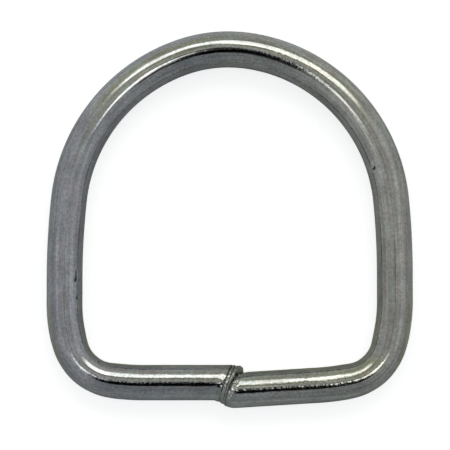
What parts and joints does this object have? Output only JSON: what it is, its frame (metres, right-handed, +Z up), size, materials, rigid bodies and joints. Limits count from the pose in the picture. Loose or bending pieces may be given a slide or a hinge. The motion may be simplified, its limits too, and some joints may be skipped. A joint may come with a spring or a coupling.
{
  "type": "welded wire d ring",
  "caption": "D-shaped ring bent from round plated steel wire, with a domed crown, a flat bar for a strap and the wire's ends butt-welded slightly out of line in the bar.",
  "frame": {"origin": "middle of the ring's outer box, on the surface that the ring lies on", "axes": "+Z up out of the plane of the ring, which lies flat; +Y from the bar towards the crown; +X to the right with the crown away from the viewer"},
  "size_m": [0.031, 0.0318, 0.003],
  "materials": {
    "plated_wire": "thin bright nickel or zinc plating over drawn steel wire, mid grey, with fine lengthwise drawing lines"
  },
  "bodies": {
    "root": {"ring": "plated_wire"}
  },
  "joints": []
}
